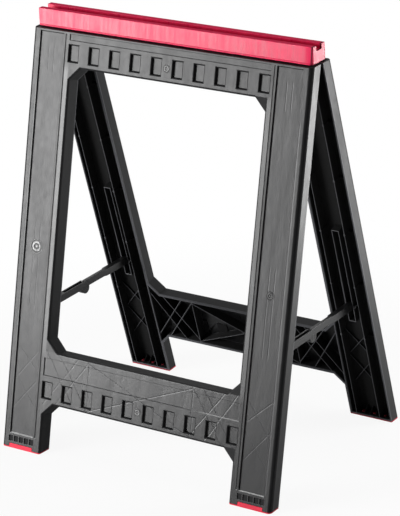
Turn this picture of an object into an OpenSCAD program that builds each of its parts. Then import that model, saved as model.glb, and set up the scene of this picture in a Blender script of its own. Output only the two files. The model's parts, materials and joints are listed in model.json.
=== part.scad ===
// Folding builders trestle: two leg frames hinged under a grooved top beam,
// held open by two folding stays. All lengths are in millimetres.
// +X runs along the beam, the front frame stands on the -Y side, and the
// origin is on the floor below the middle of the beam.

/* [Leg frames] */
// Height of the frames' top edges above the floor
frame_top_z = 709; // [660:1:780]
// Width of a frame across its two legs
frame_w = 555; // [520:1:640]
// Lean of each frame from upright when the trestle stands open
lean = 14.3; // [13:0.1:15.5]
// Depth of a frame from its face to its rim
frame_depth = 25; // [23:0.5:30]
// Wall thickness of the mouldings
wall = 2.6; // [2.2:0.1:3]
// Thickness of the stiffening ribs
rib_t = 1.6; // [1.4:0.1:2.4]
// How far the ribs stop short of the rim
rib_drop = 2; // [1:0.5:3]
// Width of a leg
leg_w = 82; // [79:0.5:90]
// Rounding of the legs' outer edges on the face
edge_r = 7; // [4:0.5:8]

/* [Cross bars] */
// Height of the top bar
top_bar_h = 59.6; // [56:0.1:70]
// Height of the window between the two bars
window_h = 488.5; // [460:0.1:500]
// Height of the lower bar
low_bar_h = 92.5; // [89:0.1:100]
// Corner cut of the window
window_cut = 21; // [12:0.5:28]
// Corner cut of the gap between the feet
gap_cut = 20; // [12:0.1:28]
// Rounding of the openings' edges on the face
opening_r = 4; // [2:0.1:4.5]
// How far the openings' walls draw in from face to rim
opening_draft = 1.8; // [0:0.1:3]
// Distance of the lattice posts of the lower bar from its middle
post_x = 106.4; // [80:0.1:130]

/* [Face pattern] */
// Distance from a leg's inner edge to its sunken panel
panel_inset = 17.5; // [15:0.1:19]
// Width of the sunken panel of a leg
panel_w = 48.7; // [44:0.1:49]
// Face left above the sunken panel
panel_top_gap = 4; // [3.5:0.1:10]
// Face left below the sunken panel
panel_foot_gap = 27; // [22:0.5:40]
// Depth of the sunken panel
panel_sink = 2.4; // [2.2:0.1:5]
// Rounding of the panel's edges on the face
panel_mouth = 0.9; // [0.5:0.1:1]
// Hollow rounding between the panel's floor and its walls
panel_cove = 1.2; // [0.5:0.1:1.4]
// Distance from the sunken panel to the seam line beside it
seam_gap = 4; // [3:0.1:6]
// Width of the seam line
seam_w = 1.6; // [0.8:0.1:2]
// Depth of the seam line
seam_sink = 0.6; // [0.3:0.1:1]
// Length of the shallow band along the top bar
band_w = 401; // [340:1:404]
// Height of the shallow band
band_h = 10.2; // [6:0.1:12]
// Depth of the shallow band and of the lower bar's panel
band_sink = 1.6; // [1.2:0.1:2.4]
// Face left above the shallow band
band_gap = 3.2; // [3:0.1:6]
// Rounding of the shallow forms' edges and floors
shallow_r = 0.5; // [0.2:0.1:0.5]
// Width of a blind pocket in the bars
pocket_w = 18.2; // [12:0.1:20]
// Height of a blind pocket
pocket_h = 27.2; // [20:0.1:28]
// Depth of a blind pocket
pocket_sink = 4.4; // [3.6:0.1:8]
// Rounding of a pocket's edges on the face
pocket_mouth = 2.5; // [0.5:0.1:2.8]
// Hollow rounding between a pocket's floor and its walls
pocket_cove = 0.8; // [0.4:0.1:1.4]
// Distance between neighbouring pockets
pocket_pitch = 42.4; // [36:0.1:42.6]
// Number of pockets in a row
pocket_count = 10; // [4:2:10]
// Face between the top edge and the upper row of pockets
top_row_gap = 21.8; // [20:0.1:23]
// Face between the window and the lower row of pockets
low_row_gap = 55; // [52:0.1:55.6]
// Face between the window and the lower bar's panel
low_panel_gap = 12.4; // [8:0.1:18]
// Height of the lower bar's panel
low_panel_h = 30.4; // [20:0.1:34]
// Width of a pit in the strip above a foot
pit_w = 8.5; // [6:0.1:9]
// Height of a pit
pit_h = 9.5; // [6:0.1:12]
// Depth of a pit
pit_sink = 1.3; // [1.1:0.1:2]
// Distance between neighbouring pits
pit_pitch = 11; // [10.4:0.1:11.6]

/* [Top beam] */
// Length of the beam
beam_len = 546; // [500:1:600]
// Height of the beam
beam_h = 29; // [26:0.5:36]
// Gap between the frames and the beam
beam_gap = 2; // [1:0.1:3]
// Width of the beam at its lower edge
beam_low_w = 45; // [42:0.5:52]
// Width of the beam across its top
beam_top_w = 35.4; // [33:0.1:40]
// Width of the groove along the top
groove_w = 15.6; // [10:0.1:18]
// Depth of the groove
groove_d = 8.6; // [5:0.1:9]
// Height of the lip along the lower edge
lip_h = 2.6; // [1.5:0.1:4]
// How far the lip stands out
lip_step = 0.7; // [0.3:0.1:1]
// Plan rounding of the beam's corners
beam_corner_r = 7; // [3:0.5:10]

/* [Hinge] */
// Height of the hinge rod above the frames' top edges
hinge_rise = 8; // [7:0.1:9]
// Gap between the rims of the frames when folded
fold_gap = 1.9; // [1.2:0.1:3]
// Diameter of the hinge rod
rod_d = 6; // [5:0.5:7]
// Radius of a hinge lug
lug_r = 6; // [5.5:0.1:6.5]
// Length of a hinge lug along the rod
lug_w = 14; // [10:0.5:18]
// How far a lug's root reaches below the rod inside the top bar
lug_root = 30; // [24:1:32]
// Distance between neighbouring hinges
hinge_pitch = 200; // [140:1:230]
// Thickness of the beam's ribs that carry the rod
saddle_t = 3; // [2:0.5:5]
// Gap between a lug and its neighbouring rib
lug_gap = 1.5; // [0.5:0.1:3]
// Diameter of the rod's end clips
clip_d = 12; // [10:0.5:14]
// Thickness of the rod's end clips
clip_t = 1.2; // [0.8:0.1:2]
// Rod end that stands out of a clip
rod_end = 2; // [1:0.5:4]

/* [Stays] */
// Height of the stays' leg pivots above the floor
stay_z = 234; // [226:1:250]
// Distance from a leg's inner edge to the middle of its stay
stay_inset = 39.8; // [37:0.1:44]
// Height of a stay's bar
stay_h = 12.8; // [11:0.1:13]
// Width of a stay
stay_w = 10.6; // [9:0.1:12]
// Thickness of each fork side of a front link
fork_side = 2.2; // [1.8:0.1:2.6]
// Length from the leg pivot to the root of the fork
fork_root = 72; // [50:1:74]
// Length of the step from the wide part of a rear link to its blade
blade_taper = 5; // [3:0.5:10]
// Radius of the knuckle lobes
knuckle_r = 10; // [8.5:0.1:11]
// Diameter of the stay pins
pin_d = 5; // [4:0.5:5.5]
// Diameter of the heads of the knuckle pins
head_d = 9; // [7:0.5:12]
// Thickness of the heads of the knuckle pins
head_t = 1; // [0.6:0.1:1.4]
// Room in a slot beyond the folded stay's knuckle
slot_end_gap = 16; // [6:1:24]
// Room in a slot below the leg pivot
slot_tail = 30; // [14:1:34]
// Radius of the pivot bosses beside a slot
boss_r = 4.5; // [4:0.1:5]
// Length of the pivot bosses
boss_t = 3; // [1:0.5:4]

/* [Feet] */
// Thickness of the foot plates
foot_t = 2; // [1.5:0.1:4]
// Height of a foot's front tab above the floor
tab_h = 7.6; // [5:0.1:11]
// Thickness of a foot's front tab
tab_t = 3; // [2:0.1:4]
// Diameter of a foot's pegs
peg_d = 4; // [3:0.5:5]
// Diameter of the pegs' heads
peg_head_d = 6; // [5.5:0.1:7]
// Height of the pegs' heads
peg_head_h = 2; // [1:0.1:4]
// Height of the gussets above a foot
gusset_h = 15; // [8:0.5:24]

/* [Leg ribs] */
// How far the ribs of a leg stand inside the edges of its sunken panel
rib_inset = 1; // [0:0.1:2]
// Sideways move of the ribs, so that the ribs of the folded frames do not face each other
rib_shift = 8; // [5:0.5:9]
// Height of the crossed ribs between them
cross_h = 4; // [3:0.5:12]
// Height of the webs in the side channels
web_h = 6; // [3:0.5:10]
// Diameter of the ejector bosses on the ribs
ejector_d = 3.6; // [2.6:0.1:4]
// How far the ejector bosses stand above the ribs
ejector_rise = 0.4; // [0.2:0.1:1]
// Distance of the first web from the top edge
web_first = 117; // [60:0.1:130]
// Distance between neighbouring webs
web_pitch = 108.4; // [60:0.1:112]
// Number of webs in each side channel
web_count = 5; // [1:1:5]

/* [Clearances] */
// Radial clearance of turning pins
run_clear = 0.05; // [0.02:0.01:0.1]
// Radial clearance of fixed pins and pegs
seat_clear = 0.02; // [0.01:0.01:0.05]
// Clearance between the fork sides and the blade
fork_clear = 0.3; // [0.2:0.05:0.5]
// Clearance between a stay and the sides of its slot
slot_clear = 0.4; // [0.2:0.05:0.8]
// Clearance between the two folded links of a stay
stay_clear = 0.3; // [0.2:0.05:0.6]
// Clearance round a foot's front tab
tab_clear = 0.2; // [0.1:0.05:0.5]

/* [Hidden] */
$fn = 64;

// Overrun of every cut
over = 1;
LEFT = -1;
RIGHT = 1;

// Hinge axis, seen from a frame
rim_offset = fold_gap / 2;
axis_depth = rim_offset + frame_depth;
hinge_z = frame_top_z + hinge_rise;
face_top_w = (hinge_rise + axis_depth * sin(lean)) / cos(lean);
face_foot_w = (hinge_z + axis_depth * sin(lean)) / cos(lean);

// Leg, window and bars on the face
leg_x = frame_w / 2 - leg_w;
low_bar_v = top_bar_h + window_h;
gap_v = low_bar_v + low_bar_h;
panel_x0 = leg_x + panel_inset;
panel_x1 = panel_x0 + panel_w;
panel_x = (panel_x0 + panel_x1) / 2;
panel_z0 = panel_foot_gap - face_foot_w;
panel_z1 = -(face_top_w + panel_top_gap);
bar_floor = wall + band_sink;
pocket_wall = rib_t;
rib_edge = frame_depth - rib_drop;

// Stays: the knuckle hangs below the bar so that the folded links lie face to face
knuckle_drop = stay_h / 2 + stay_clear;
pivot_depth = knuckle_drop - rim_offset;
pivot_w = (hinge_z - stay_z + knuckle_drop * sin(lean)) / cos(lean);
stay_reach = knuckle_drop * cos(lean) + pivot_w * sin(lean);
stay_x = leg_x + stay_inset;
blade_w = stay_w - 2 * (fork_side + fork_clear);
slot_w = stay_w + 2 * slot_clear;
slot_top_w = pivot_w - stay_reach - knuckle_r - slot_end_gap;
slot_low_w = pivot_w + slot_tail;
pivot_y = frame_depth - pivot_depth;
pin_len = slot_w + 2 * (rib_t + boss_t);

// Floor of the hollows of a leg, and the webs along its side channels
mid_floor = panel_sink + wall;
web_vs = [for (i = [0 : web_count - 1]) web_first + i * web_pitch];

// Hinges: each has a lug of either frame beside a rib of the beam
hinge_xs = [-hinge_pitch, 0, hinge_pitch];
lug_offset = saddle_t / 2 + lug_gap + lug_w / 2;
lug_end_x = hinge_pitch + lug_offset + lug_w / 2;
clip_x = lug_end_x + lug_gap;
rod_len = 2 * (clip_x + clip_t + rod_end);

// Beam section
beam_z0 = frame_top_z + beam_gap;
beam_z1 = beam_z0 + beam_h;
beam_ceiling = beam_z1 - groove_d - wall;
ridge_w = (beam_top_w - groove_w) / 2;

// Feet
peg_depth = (mid_floor + rib_edge) / 2;
pit_count = 5;
peg_xs = [for (step = [-2, 0, 2]) panel_x + step * pit_pitch];
gusset_count = pit_count - 1;

// Steps of the roundings along the edges of sunken forms
soft_angles = [for (i = [0 : 4]) i * 90 / 4];

// Rings of an opening: rounded at the face, then drawn in as far as the rim
round_angles = [for (i = [0 : 6]) i * 90 / 6];
ring_depths = concat([-over], [for (a = round_angles) opening_r * (1 - cos(a))], [frame_depth + over]);
ring_growths = concat([opening_r], [for (a = round_angles) opening_r * (1 - sin(a))], [-opening_draft]);

// Lattice ribs of the lower bar: ends as shares of the way from post to leg and down the bar
lattice_shares = [
    [[1.03, -0.04], [0.27, 1.06]],
    [[0.78, -0.06], [0.00, 0.92]],
    [[0.18, -0.06], [1.03, 1.03]],
    [[0.00, 0.05], [0.79, 1.06]]
];
// Long diagonals of the lower bar: start and end as shares of the way down the bar
diagonal_shares = [0.07, 0.97];
// Slanting ribs stop inside the posts, on the side that they come from
post_end_x = post_x + rib_t / 4;
diagonal_end_x = post_x - rib_t / 4;
// Crossed ribs in the legs: upper and lower ends as shares of the way down the lower bar
cross_shares = [[-0.01, 0.57], [0.6, 1.22]];

// Height in a frame's own space of a point v below the top edge of its face
function face_z(v) = -(face_top_w + v);

// Distance in front of the hinge axis, with the frame open, of a point at a depth in the frame
function open_y(depth, z) = -((axis_depth - depth) / cos(lean) + (hinge_z - z) * tan(lean));

// From a frame's own space (face at y = 0, hinge axis at z = 0) to its open place in front
module place_front() {
    translate([0, 0, hinge_z])
        rotate([-lean, 0, 0])
            translate([0, -axis_depth, 0])
                children();
}

// The rear frame is the front frame turned half round
module place_rear() {
    rotate([0, 0, 180])
        place_front()
            children();
}

// From the open trestle's space back to a frame's own space
module from_open() {
    translate([0, axis_depth, 0])
        rotate([lean, 0, 0])
            translate([0, 0, -hinge_z])
                children();
}

// Everything between two heights above the floor, in a frame's own space
module between_heights(z0, z1) {
    from_open()
        translate([-frame_w, -frame_w, z0])
            cube([2 * frame_w, 2 * frame_w, z1 - z0]);
}

// A block between two corners
module block(a, b) {
    translate(a)
        cube(b - a);
}

// An outline in x and z, given depth from y0 to y1
module deep(y0, y1) {
    translate([0, y1, 0])
        rotate([90, 0, 0])
            linear_extrude(y1 - y0)
                children();
}

// An outline in y and z, given a width along x about x = 0
module along_x(width) {
    translate([-width / 2, 0, 0])
        rotate([90, 0, 90])
            linear_extrude(width)
                children();
}

module rod_x(d, width) {
    along_x(width)
        circle(d = d);
}

// Frame outlines

// Cross section of a frame without its hollows, moved in by t on its face and sides
module frame_section(t, depth) {
    half = frame_w / 2 - t;
    translate([-half, edge_r])
        square([2 * half, depth - edge_r]);
    translate([edge_r - frame_w / 2, t])
        square([frame_w - 2 * edge_r, depth - t]);
    for (side = [LEFT, RIGHT])
        translate([side * (frame_w / 2 - edge_r), edge_r])
            circle(edge_r - t);
}

module frame_column(t, depth) {
    translate([0, 0, -(face_foot_w + over)])
        linear_extrude(face_foot_w + over)
            frame_section(t, depth);
}

// Length of a corner cut on an outline that is grown by t
function grown_cut(cut, t) = cut + (2 - sqrt(2)) * t;

// Outline of the window, grown by t
function window_points(t) = let (
    half = leg_x + t, cut = grown_cut(window_cut, t), z0 = face_z(low_bar_v) - t, z1 = face_z(top_bar_h) + t
) [
    [cut - half, z0], [half - cut, z0], [half, z0 + cut], [half, z1 - cut],
    [half - cut, z1], [cut - half, z1], [-half, z1 - cut], [-half, z0 + cut]
];

// Outline of the gap between the feet, grown by t
function gap_points(t) = let (
    half = leg_x + t, cut = grown_cut(gap_cut, t), z0 = -(face_foot_w + over), z1 = face_z(gap_v) + t
) [
    [-half, z0], [half, z0], [half, z1 - cut], [half - cut, z1], [cut - half, z1], [-half, z1 - cut]
];

// Solid through outlines that lie at a list of depths
module ringed(depths, rings) {
    count = len(rings[0]);
    last = len(rings) - 1;
    points = [for (i = [0 : last], p = rings[i]) [p.x, depths[i], p.y]];
    sides = [
        for (i = [0 : last - 1], j = [0 : count - 1])
            let (a = i * count + j, b = i * count + (j + 1) % count)
                [a, b, b + count, a + count]
    ];
    front = [for (j = [0 : count - 1]) count - 1 - j];
    back = [for (j = [0 : count - 1]) last * count + j];
    polyhedron(points, concat([front, back], sides));
}

module window() {
    ringed(ring_depths, [for (t = ring_growths) window_points(t)]);
}

module foot_gap() {
    ringed(ring_depths, [for (t = ring_growths) gap_points(t)]);
}

// Sunken form in the face, rounded at its mouth and hollowed along its floor
module recess(width, height, sink, mouth, cove) {
    depths = concat([-over], [for (a = soft_angles) mouth * (1 - cos(a))],
                    [for (a = soft_angles) sink - cove * (1 - sin(a))]);
    growths = concat([mouth], [for (a = soft_angles) mouth * (1 - sin(a))],
                     [for (a = soft_angles) -cove * (1 - cos(a))]);
    ringed(depths, [
        for (t = growths) let (x = width / 2 + t, z = height / 2 + t)
            [[-x, -z], [x, -z], [x, z], [-x, z]]
    ]);
}

// Where a wall of thickness t behind a corner cut meets the wall of the bar
function cut_x(cut, t) = leg_x - cut + (sqrt(2) - 1) * t;
// How far it reaches past the bar's edge at the leg
function cut_rise(cut, t) = cut - sqrt(2) * t + (wall - t);

function top_bar_points(t) = let (half = leg_x + wall - t, z0 = face_z(top_bar_h)) [
    [-half, z0 - cut_rise(window_cut, t)], [-cut_x(window_cut, t), z0 + t],
    [cut_x(window_cut, t), z0 + t], [half, z0 - cut_rise(window_cut, t)],
    [half, 0], [-half, 0]
];

function low_bar_points(t) = let (half = leg_x + wall - t, z0 = face_z(gap_v), z1 = face_z(low_bar_v)) [
    [-half, z0 - cut_rise(gap_cut, t)], [-cut_x(gap_cut, t), z0 + t],
    [cut_x(gap_cut, t), z0 + t], [half, z0 - cut_rise(gap_cut, t)],
    [half, z1 + cut_rise(window_cut, t)], [cut_x(window_cut, t), z1 - t],
    [-cut_x(window_cut, t), z1 - t], [-half, z1 + cut_rise(window_cut, t)]
];

// Frame cuts

module at_pockets() {
    for (top_v = [top_row_gap, low_bar_v + low_row_gap], i = [0 : pocket_count - 1])
        translate([(i - (pocket_count - 1) / 2) * pocket_pitch, 0, face_z(top_v + pocket_h / 2)])
            children();
}

module bar_cavities() {
    deep(bar_floor, frame_depth + over) {
        polygon(top_bar_points(wall));
        polygon(low_bar_points(wall));
    }
}

// Boxes round the pockets, which stand up inside the bars
module pocket_boxes() {
    at_pockets()
        block([-pocket_w / 2 - pocket_wall, 0, -pocket_h / 2 - pocket_wall],
              [pocket_w / 2 + pocket_wall, pocket_sink + pocket_wall, pocket_h / 2 + pocket_wall]);
}

// Middles of the two long ribs of a leg
function inner_rib_x(side) = side * (panel_x0 + rib_inset) + rib_shift;
function outer_rib_x(side) = side * (panel_x1 - rib_inset) + rib_shift;

// Room in a leg between two places across it, from one depth as far as the rim
module leg_room(a, b, depth) {
    block([min(a, b), depth, -face_foot_w], [max(a, b), frame_depth + over, 0]);
}

// Channel of a leg between two places across it, with a low web at each step
module side_channel(a, b) {
    tops = concat([-face_top_w], [for (v = web_vs) v + rib_t / 2]);
    lows = concat([for (v = web_vs) v - rib_t / 2], [face_foot_w]);
    leg_room(a, b, mid_floor + web_h);
    for (i = [0 : web_count])
        block([min(a, b), mid_floor, face_z(lows[i])], [max(a, b), rib_edge, face_z(tops[i])]);
}

module leg_cavities(side) {
    inner = inner_rib_x(side);
    outer = outer_rib_x(side);
    side_channel(side * (leg_x + wall), inner - side * rib_t / 2);
    leg_room(inner + side * rib_t / 2, outer - side * rib_t / 2, mid_floor);
    intersection() {
        side_channel(outer + side * rib_t / 2, side * frame_w / 2);
        frame_column(wall, frame_depth + over);
    }
    leg_room(side * (leg_x + wall), side * (frame_w / 2 - wall), rib_edge);
}

module both_legs() {
    children();
    mirror([1, 0, 0])
        children();
}

module face_cuts() {
    at_pockets()
        recess(pocket_w, pocket_h, pocket_sink, pocket_mouth, pocket_cove);
    translate([0, 0, face_z(band_gap + band_h / 2)])
        recess(band_w, band_h, band_sink, shallow_r, shallow_r);
    translate([0, 0, face_z(low_bar_v + low_panel_gap + low_panel_h / 2)])
        recess(band_w, low_panel_h, band_sink, shallow_r, shallow_r);
    for (side = [LEFT, RIGHT])
        translate([side * panel_x, 0, 0]) {
            translate([0, 0, (panel_z0 + panel_z1) / 2])
                recess(panel_w, panel_z1 - panel_z0, panel_sink, panel_mouth, panel_cove);
            foot_pits();
        }
    both_legs() {
        block([panel_x0 - seam_gap - seam_w, -over, panel_z0], [panel_x0 - seam_gap, seam_sink, panel_z1]);
        foot_tab(tab_clear);
    }
}

// Row of pits in the strip between the panel and the foot
module foot_pits() {
    strip_z = (tab_h + panel_foot_gap) / 2 - face_foot_w;
    for (i = [0 : pit_count - 1])
        translate([(i - (pit_count - 1) / 2) * pit_pitch, 0, strip_z])
            recess(pit_w, pit_h, pit_sink, shallow_r, shallow_r);
}

// Frame ribs

// Outline of a slanting rib from a to b, points in x and z, with upright ends
module slant_rib(a, b) {
    rise = [0, rib_t / 2 * norm(b - a) / abs(b.x - a.x)];
    polygon([a - rise, b - rise, b + rise, a + rise]);
}

// Point of the lower bar beside a post, as shares of the way to the leg and of the bar's height
function low_bar_point(side, x_share, v_share) =
    [side * (post_end_x + x_share * (leg_x - post_end_x)), face_z(low_bar_v + v_share * low_bar_h)];

module lattice_ribs() {
    deep(bar_floor - wall / 2, rib_edge)
        intersection() {
            polygon(low_bar_points(wall / 2));
            union() {
                for (side = [LEFT, RIGHT]) {
                    for (s = lattice_shares)
                        slant_rib(low_bar_point(side, s[0].x, s[0].y), low_bar_point(side, s[1].x, s[1].y));
                    translate([side * post_x - rib_t / 2, face_z(gap_v)])
                        square([rib_t, low_bar_h]);
                    slant_rib([-side * diagonal_end_x, face_z(low_bar_v + diagonal_shares[0] * low_bar_h)],
                              [side * diagonal_end_x, face_z(low_bar_v + diagonal_shares[1] * low_bar_h)]);
                }
            }
        }
}

module crossed_leg_ribs(side) {
    difference() {
        deep(mid_floor - wall / 2, mid_floor + cross_h)
            for (s = cross_shares, ends = [[s[0], s[1]], [s[1], s[0]]])
                slant_rib([inner_rib_x(side), face_z(low_bar_v + ends[0] * low_bar_h)],
                          [outer_rib_x(side), face_z(low_bar_v + ends[1] * low_bar_h)]);
        slot_room(side * stay_x, rib_t);
    }
}

// Bosses for the ejector pins of the mould, one on each rib beside each web
module ejector_bosses() {
    deep(mid_floor - wall / 2, rib_edge + ejector_rise)
        for (side = [LEFT, RIGHT], x = [inner_rib_x(side), outer_rib_x(side)], v = web_vs)
            translate([x, face_z(v)])
                circle(d = ejector_d);
}

// Room inside the stay slot at x, grown sideways and at its ends by t
module slot_room(x, t) {
    block([x - slot_w / 2 - t, 0, -slot_low_w - t],
          [x + slot_w / 2 + t, frame_depth + over, t - slot_top_w]);
}

module stay_slot() {
    difference() {
        intersection() {
            block([panel_x0, mid_floor - wall / 2, -face_foot_w], [panel_x1, rib_edge, 0]);
            slot_room(stay_x, rib_t);
        }
        difference() {
            slot_room(stay_x, 0);
            block([panel_x0, 0, -face_foot_w], [panel_x1, mid_floor, 0]);
        }
    }
    for (side = [LEFT, RIGHT])
        translate([stay_x + side * (slot_w / 2 + rib_t / 2 + boss_t / 2), pivot_y, -pivot_w])
            rod_x(2 * boss_r, boss_t + rib_t);
}

module foot_gussets() {
    z0 = foot_t + wall / 2;
    for (i = [0 : gusset_count - 1])
        translate([panel_x + (i - (gusset_count - 1) / 2) * pit_pitch, 0, 0])
            from_open()
                along_x(rib_t)
                    polygon([[open_y(mid_floor - wall / 2, z0), z0],
                             [open_y(rib_edge, z0), z0],
                             [open_y(mid_floor - wall / 2, z0 + gusset_h), z0 + gusset_h]]);
}

module hinge_lugs() {
    for (x = hinge_xs)
        translate([x - lug_offset, axis_depth, 0])
            along_x(lug_w) {
                circle(lug_r);
                translate([-lug_r, -lug_root])
                    square([lug_r - rim_offset, lug_root]);
            }
}

// Frame bores: hinge rod, stay pivots and foot pegs

module frame_bores() {
    translate([0, axis_depth, 0])
        rod_x(rod_d + 2 * run_clear, frame_w);
    both_legs() {
        translate([stay_x, pivot_y, -pivot_w])
            rod_x(pin_d + 2 * seat_clear, pin_len + 2 * over);
        at_pegs()
            cylinder(d = peg_d + 2 * seat_clear, h = foot_t + wall + over);
    }
}

module at_pegs() {
    z = foot_t + wall;
    from_open()
        for (x = peg_xs)
            translate([x, open_y(peg_depth, z), 0])
                children();
}

module leg_frame() {
    color("#3b3c40")
        difference() {
            union() {
                difference() {
                    intersection() {
                        frame_column(0, frame_depth);
                        between_heights(foot_t, frame_top_z);
                    }
                    window();
                    foot_gap();
                    intersection() {
                        difference() {
                            union() {
                                bar_cavities();
                                for (side = [LEFT, RIGHT])
                                    leg_cavities(side);
                            }
                            pocket_boxes();
                        }
                        between_heights(foot_t + wall, frame_top_z - wall);
                    }
                }
                lattice_ribs();
                ejector_bosses();
                for (side = [LEFT, RIGHT])
                    crossed_leg_ribs(side);
                both_legs() {
                    stay_slot();
                    foot_gussets();
                }
                hinge_lugs();
            }
            face_cuts();
            frame_bores();
        }
}

module front_frame() {
    place_front()
        leg_frame();
}

module rear_frame() {
    place_rear()
        leg_frame();
}

// Feet

// Tab in front of a foot, grown by a clearance for the notch that takes it
module foot_tab(clear) {
    intersection() {
        block([panel_x0 - clear, clear > 0 ? -over : 0, -face_foot_w - over],
              [panel_x1 + clear, tab_t + clear, 0]);
        between_heights(clear > 0 ? -over : 0, tab_h + clear);
    }
}

// Foot of the right leg, in its frame's own space
module foot() {
    color("#d8213d") {
        difference() {
            intersection() {
                frame_column(0, frame_depth);
                block([0, -over, -face_foot_w - over], [frame_w, frame_depth + over, 0]);
                between_heights(0, foot_t);
            }
            foot_gap();
        }
        foot_tab(0);
        at_pegs() {
            cylinder(d = peg_d, h = foot_t + wall + peg_head_h);
            translate([0, 0, foot_t + wall + seat_clear])
                cylinder(d = peg_head_d, h = peg_head_h - seat_clear);
        }
    }
}

module foot_at(side) {
    mirror([side == LEFT ? 1 : 0, 0, 0])
        foot();
}

module front_left_foot() {
    place_front()
        foot_at(LEFT);
}

module front_right_foot() {
    place_front()
        foot_at(RIGHT);
}

module rear_left_foot() {
    place_rear()
        foot_at(RIGHT);
}

module rear_right_foot() {
    place_rear()
        foot_at(LEFT);
}

// Stay pivot pins

module pivot_pin(side) {
    color("silver")
        translate([side * stay_x, pivot_y, -pivot_w])
            rod_x(pin_d, pin_len);
}

module front_left_pivot_pin() {
    place_front()
        pivot_pin(LEFT);
}

module front_right_pivot_pin() {
    place_front()
        pivot_pin(RIGHT);
}

module rear_left_pivot_pin() {
    place_rear()
        pivot_pin(RIGHT);
}

module rear_right_pivot_pin() {
    place_rear()
        pivot_pin(LEFT);
}

// Stays: each link is drawn from its leg pivot along y to the knuckle

module stay_outline() {
    circle(d = stay_h);
    translate([0, -stay_h / 2])
        square([stay_reach, stay_h]);
    translate([stay_reach, -knuckle_drop])
        circle(knuckle_r);
}

module at_knuckle() {
    translate([0, stay_reach, -knuckle_drop])
        children();
}

module front_link() {
    color("#303134")
        difference() {
            along_x(stay_w)
                stay_outline();
            block([-blade_w / 2 - fork_clear, fork_root, -knuckle_drop - knuckle_r - over],
                  [blade_w / 2 + fork_clear, stay_reach + knuckle_r + over, stay_h]);
            rod_x(pin_d + 2 * run_clear, stay_w + 2 * over);
            at_knuckle() {
                rod_x(pin_d + 2 * seat_clear, stay_w + 2 * over);
                for (side = [LEFT, RIGHT])
                    translate([side * (stay_w - head_t + over) / 2, 0, 0])
                        rod_x(head_d + 2 * seat_clear, head_t + over);
            }
        }
}

// Widths of a rear link: full by the leg, then stepped down to a blade
function blade_points() = let (step = fork_root - fork_clear, tip = stay_reach + knuckle_r + over) [
    [-stay_w / 2, -stay_h], [stay_w / 2, -stay_h], [stay_w / 2, step - blade_taper],
    [blade_w / 2, step], [blade_w / 2, tip], [-blade_w / 2, tip],
    [-blade_w / 2, step], [-stay_w / 2, step - blade_taper]
];

module rear_link() {
    color("#303134")
        difference() {
            intersection() {
                along_x(stay_w)
                    stay_outline();
                translate([0, 0, -knuckle_drop - knuckle_r - over])
                    linear_extrude(knuckle_drop + knuckle_r + stay_h + over)
                        polygon(blade_points());
            }
            rod_x(pin_d + 2 * run_clear, stay_w + 2 * over);
            at_knuckle()
                rod_x(pin_d + 2 * seat_clear, stay_w + 2 * over);
        }
}

// Heads of a knuckle pin, let into both fork sides
module knuckle_heads() {
    color("silver")
        at_knuckle()
            for (side = [LEFT, RIGHT]) {
                translate([side * (stay_w - fork_side) / 2, 0, 0])
                    rod_x(pin_d, fork_side);
                translate([side * (stay_w - head_t) / 2, 0, 0])
                    rod_x(head_d, head_t);
            }
}

// Shank of a knuckle pin, inside the blade
module knuckle_shank() {
    color("silver")
        at_knuckle()
            rod_x(pin_d, blade_w);
}

module place_front_link(side) {
    translate([side * stay_x, -stay_reach, stay_z])
        children();
}

module place_rear_link(side) {
    mirror([0, 1, 0])
        place_front_link(side)
            children();
}

module front_left_stay() {
    place_front_link(LEFT)
        front_link();
}

module front_right_stay() {
    place_front_link(RIGHT)
        front_link();
}

module rear_left_stay() {
    place_rear_link(LEFT)
        rear_link();
}

module rear_right_stay() {
    place_rear_link(RIGHT)
        rear_link();
}

module left_knuckle_heads() {
    place_front_link(LEFT)
        knuckle_heads();
}

module right_knuckle_heads() {
    place_front_link(RIGHT)
        knuckle_heads();
}

module left_knuckle_pin() {
    place_rear_link(LEFT)
        knuckle_shank();
}

module right_knuckle_pin() {
    place_rear_link(RIGHT)
        knuckle_shank();
}

// Top beam and hinge rod

// Half width of the beam's side at height z, moved in by t
function beam_half(z, t) = let (share = (z - beam_z0) / beam_h)
    (1 - share) * (beam_low_w / 2 - lip_step) + share * beam_top_w / 2 - t;

module beam_section() {
    half_points = [
        [beam_low_w / 2, beam_z0], [beam_low_w / 2, beam_z0 + lip_h],
        [beam_half(beam_z0 + lip_h, 0), beam_z0 + lip_h], [beam_half(beam_z1, 0), beam_z1],
        [groove_w / 2, beam_z1], [groove_w / 2, beam_z1 - groove_d]
    ];
    last = len(half_points) - 1;
    mirrored = [for (i = [0 : last]) [-half_points[last - i].x, half_points[last - i].y]];
    polygon(concat(half_points, mirrored));
}

module beam_hollow() {
    polygon([
        [-beam_half(beam_z0, wall), beam_z0 - over], [beam_half(beam_z0, wall), beam_z0 - over],
        [beam_half(beam_ceiling, wall), beam_ceiling], [-beam_half(beam_ceiling, wall), beam_ceiling]
    ]);
    for (side = [LEFT, RIGHT])
        translate([side * (groove_w + ridge_w) / 2 - ridge_w / 2 + wall, beam_ceiling - over])
            square([ridge_w - 2 * wall, beam_z1 - wall - beam_ceiling + over]);
}

module beam_plan() {
    translate([-beam_len / 2, beam_corner_r - beam_low_w / 2])
        square([beam_len, beam_low_w - 2 * beam_corner_r]);
    translate([beam_corner_r - beam_len / 2, -beam_low_w / 2])
        square([beam_len - 2 * beam_corner_r, beam_low_w]);
    for (x = [LEFT, RIGHT], y = [LEFT, RIGHT])
        translate([x * (beam_len / 2 - beam_corner_r), y * (beam_low_w / 2 - beam_corner_r)])
            circle(beam_corner_r);
}

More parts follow.
